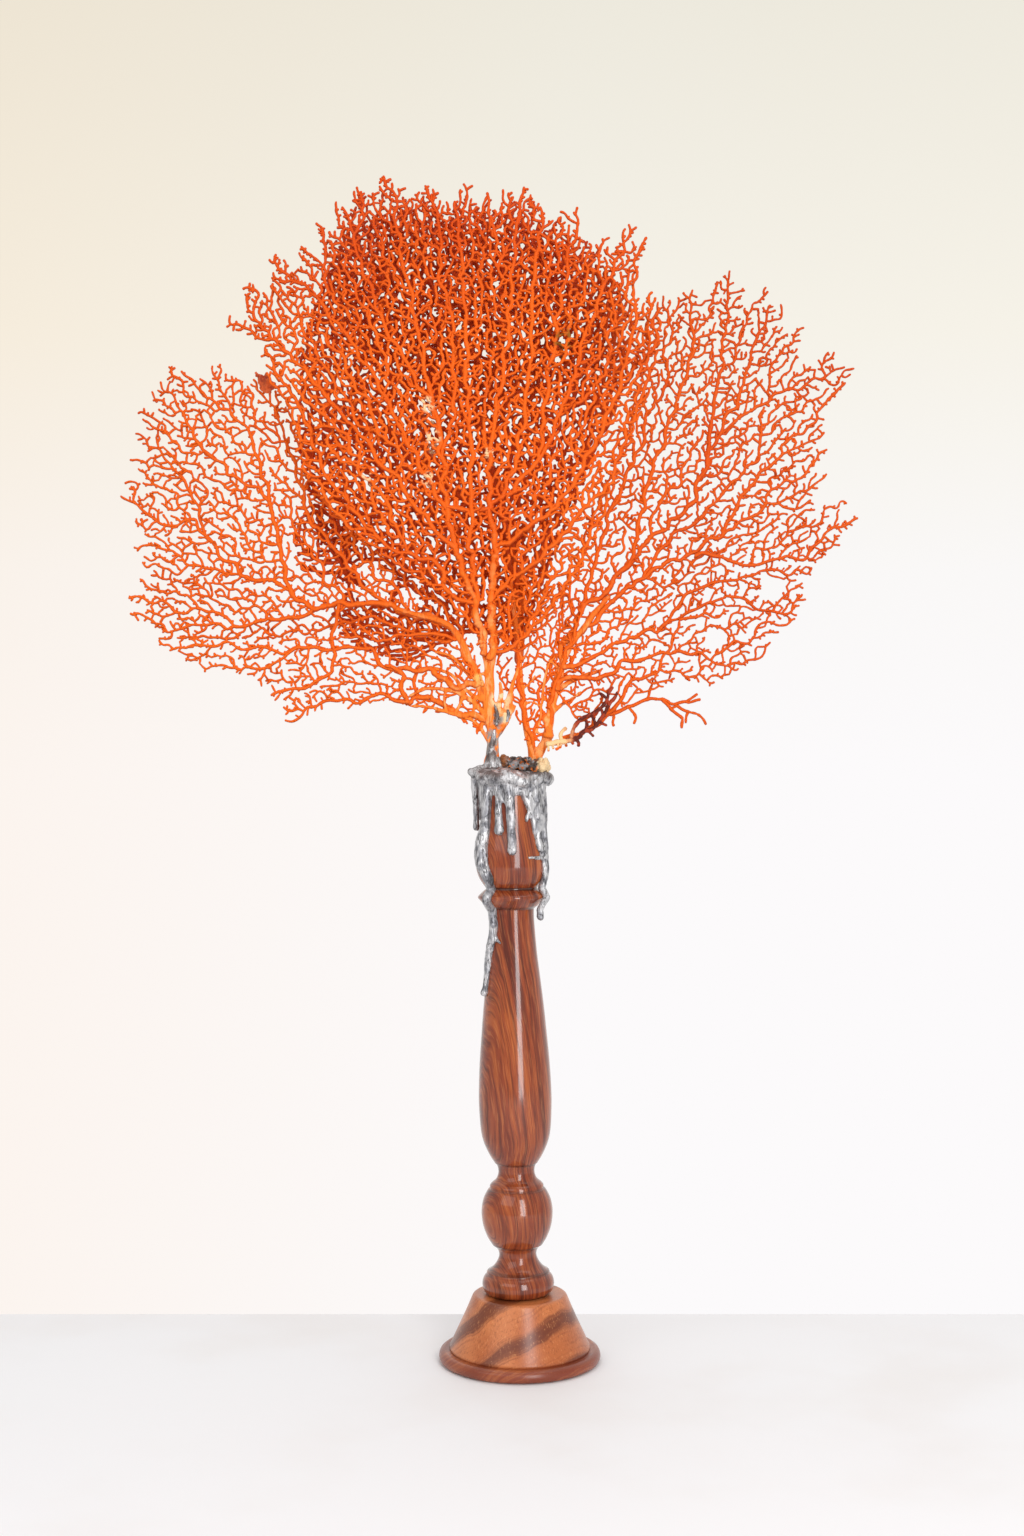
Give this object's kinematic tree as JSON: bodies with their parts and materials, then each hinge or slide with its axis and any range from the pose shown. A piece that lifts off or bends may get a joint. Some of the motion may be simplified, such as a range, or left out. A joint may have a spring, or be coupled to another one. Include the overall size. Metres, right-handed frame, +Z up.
{
  "type": "sea fan on a turned stand",
  "caption": "Dried orange sea fan of fine netted twigs, set in poured metal on a turned wooden spindle stand.",
  "frame": {"origin": "centre of the base's flat underside", "axes": "+Z up along the stand; the fan spreads along X and faces -Y, with +X to the viewer's right"},
  "size_m": [0.4623, 0.1, 0.7302],
  "materials": {
    "base_wood": "light brown turned wood with dark growth swirls, satin varnish",
    "post_wood": "dark reddish-brown turned wood with fine dark streaks, glossy varnish",
    "poured_metal": "dull grey poured metal with dark and pale streaks, satin",
    "crust": "rough brown, grey and cream crust with orange flecks",
    "stem_coral": "yellow-orange coral bark worn to pale cream in patches",
    "fan_coral": "bright orange dried coral bark, redder at the twig tips",
    "back_coral": "deep red-brown dried coral bark",
    "knob_shell": "dark orange encrusting shell"
  },
  "bodies": {
    "root": {"base": "base_wood", "post": "post_wood", "drip_cap": "poured_metal", "holdfast_crust": "crust", "left_stem": "stem_coral", "right_stem": "fan_coral", "left_fan_upper": "fan_coral", "left_fan_lower": "fan_coral", "front_fan_left": "fan_coral", "front_fan_right": "fan_coral", "back_fan": "back_coral", "right_fan_upper": "fan_coral", "right_fan_lower": "fan_coral", "lower_sprig": "fan_coral", "folded_strip": "back_coral", "shell_knob": "knob_shell"}
  },
  "joints": []
}
